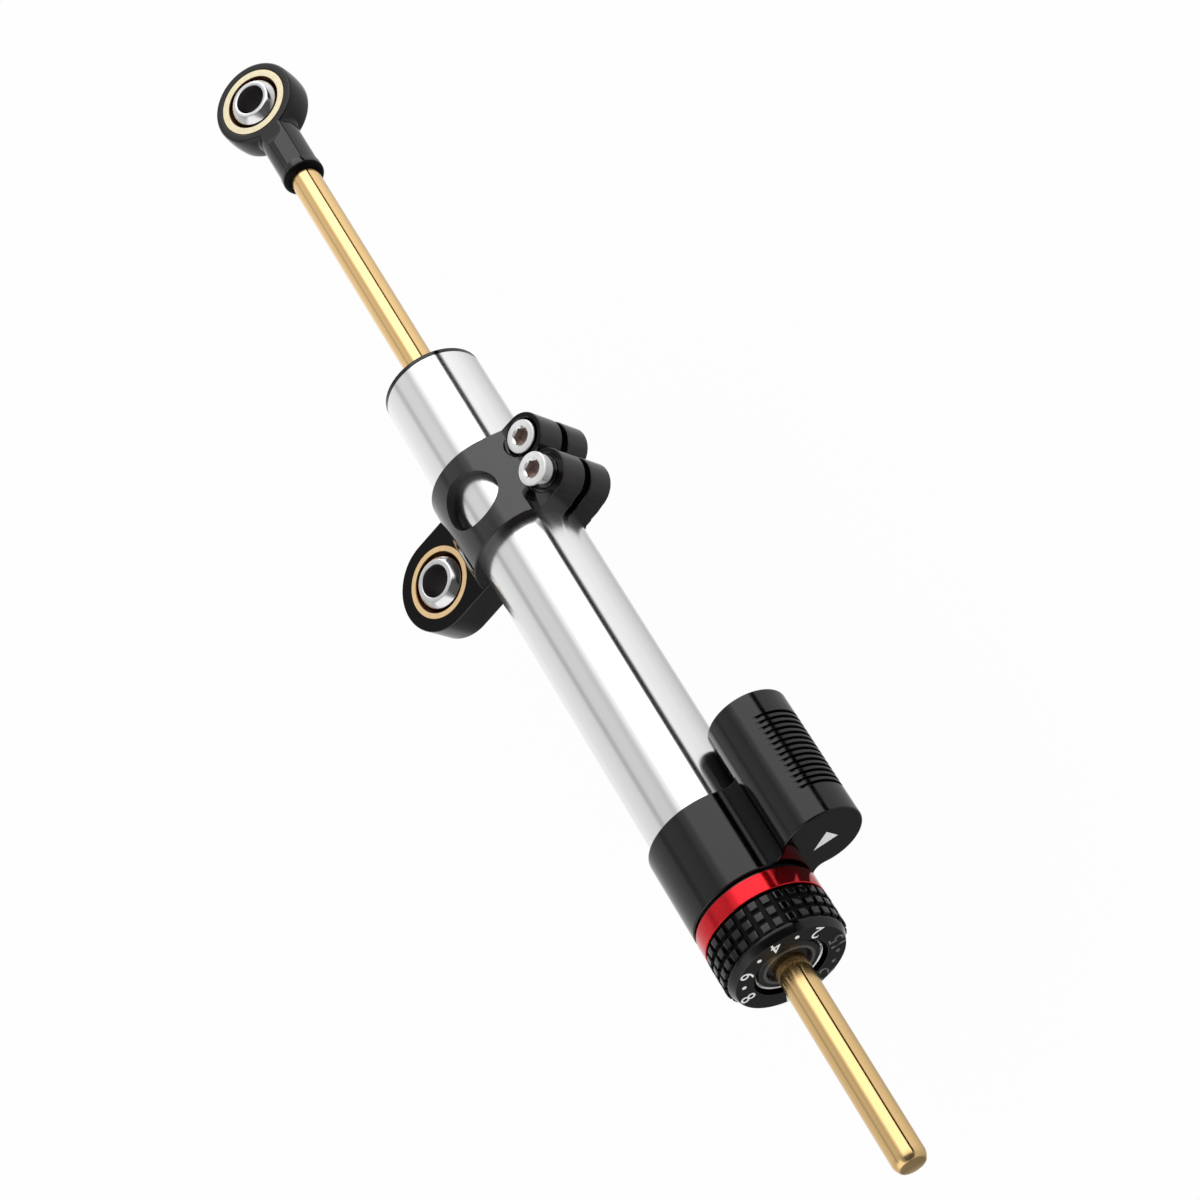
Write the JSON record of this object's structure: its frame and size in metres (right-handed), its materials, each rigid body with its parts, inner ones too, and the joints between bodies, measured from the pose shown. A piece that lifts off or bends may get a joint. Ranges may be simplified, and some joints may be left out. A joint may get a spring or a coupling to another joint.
{
  "type": "motorcycle steering damper",
  "caption": "Through-rod linear steering damper with gold rod, silver tube, black split clamp, spherical bearings, finned side reservoir, red ring and numbered adjuster knob.",
  "frame": {"origin": "centre of the clamp's bearing ball, on the axis of its bore", "axes": "+X along the rod toward the adjuster knob, +Y from the clamp bearing to the damper axis, +Z along the bore of the clamp bearing"},
  "size_m": [0.3635, 0.0689, 0.031],
  "materials": {
    "gold_rod": "polished steel with a gold-coloured hard coat",
    "silver_tube": "satin clear anodised",
    "plain_aluminium": "machined",
    "black_anodised": "black anodised, half gloss",
    "black_gloss": "black anodised, glossy",
    "red_anodised": "red anodised, glossy",
    "pale_brass": "turned",
    "bronze": "turned",
    "polished_steel": "polished",
    "spring_steel": "bright",
    "brown_liner": "woven low-friction liner",
    "black_rubber": "matt"
  },
  "bodies": {
    "damper_body": {"outer_tube": "silver_tube", "inner_cylinder": "plain_aluminium", "upper_gland": "black_anodised", "upper_bush": "bronze", "upper_rod_seal": "black_rubber", "upper_wiper": "black_rubber", "upper_oring": "black_rubber", "clamp_body": "black_anodised", "clamp_race": "pale_brass", "clamp_screws": "polished_steel", "valve_body": "black_gloss", "valve_oring": "black_rubber", "lower_gland": "black_anodised", "lower_bush": "bronze", "lower_rod_seal": "black_rubber", "lower_wiper": "black_rubber", "reservoir_plug": "black_anodised", "reservoir_plug_oring": "black_rubber", "red_ring": "red_anodised", "detent_ball": "polished_steel", "detent_spring": "spring_steel", "knob_circlip": "spring_steel"},
    "piston_unit": {"piston": "plain_aluminium", "piston_band": "brown_liner"},
    "rod_unit": {"rod": "gold_rod", "piston_clips": "spring_steel", "rod_end_body": "black_anodised", "rod_end_race": "pale_brass"},
    "rod_end_liner_unit": {"rod_end_liner": "brown_liner"},
    "rod_end_ball_unit": {"rod_end_ball": "polished_steel"},
    "clamp_liner_unit": {"clamp_liner": "brown_liner"},
    "clamp_ball_unit": {"clamp_ball": "polished_steel"},
    "knob_unit": {"adjuster_knob": "black_gloss", "knob_oring": "black_rubber", "metering_sleeve": "bronze", "drive_pin": "spring_steel"},
    "reservoir_unit": {"reservoir_piston": "plain_aluminium", "reservoir_piston_oring": "black_rubber", "reservoir_spring": "spring_steel"}
  },
  "joints": [
    {"name": "rod_slide", "type": "slide", "parent": "damper_body", "child": "piston_unit", "axis": [1, 0, 0], "range_m": [-0.043, 0.0753]},
    {"name": "rod_turn", "type": "hinge", "parent": "piston_unit", "child": "rod_unit", "pos_m": [0.0243, 0.024, 0], "axis": [1, 0, 0], "continuous": true},
    {"name": "rod_end_swivel", "type": "hinge", "parent": "rod_unit", "child": "rod_end_liner_unit", "pos_m": [-0.1562, 0.024, 0], "axis": [0, 0.2334, 0.9724], "continuous": true},
    {"name": "rod_end_tilt", "type": "hinge", "parent": "rod_end_liner_unit", "child": "rod_end_ball_unit", "pos_m": [-0.1562, 0.024, 0], "axis": [1, 0, 0], "range_deg": [-12, 12]},
    {"name": "clamp_swivel", "type": "hinge", "parent": "damper_body", "child": "clamp_liner_unit", "pos_m": [0, 0, 0], "axis": [0, 0, 1], "continuous": true},
    {"name": "clamp_tilt", "type": "hinge", "parent": "clamp_liner_unit", "child": "clamp_ball_unit", "pos_m": [0, 0, 0], "axis": [1, 0, 0], "range_deg": [-12, 12]},
    {"name": "knob_turn", "type": "hinge", "parent": "damper_body", "child": "knob_unit", "pos_m": [0.1359, 0.024, 0], "axis": [1, 0, 0], "range_deg": [-336, 0]},
    {"name": "reservoir_slide", "type": "slide", "parent": "damper_body", "child": "reservoir_unit", "axis": [1, 0, 0], "range_m": [-0.0025, 0.003], "stiffness_N_per_m": 1830, "deforming": ["reservoir_spring"]}
  ]
}
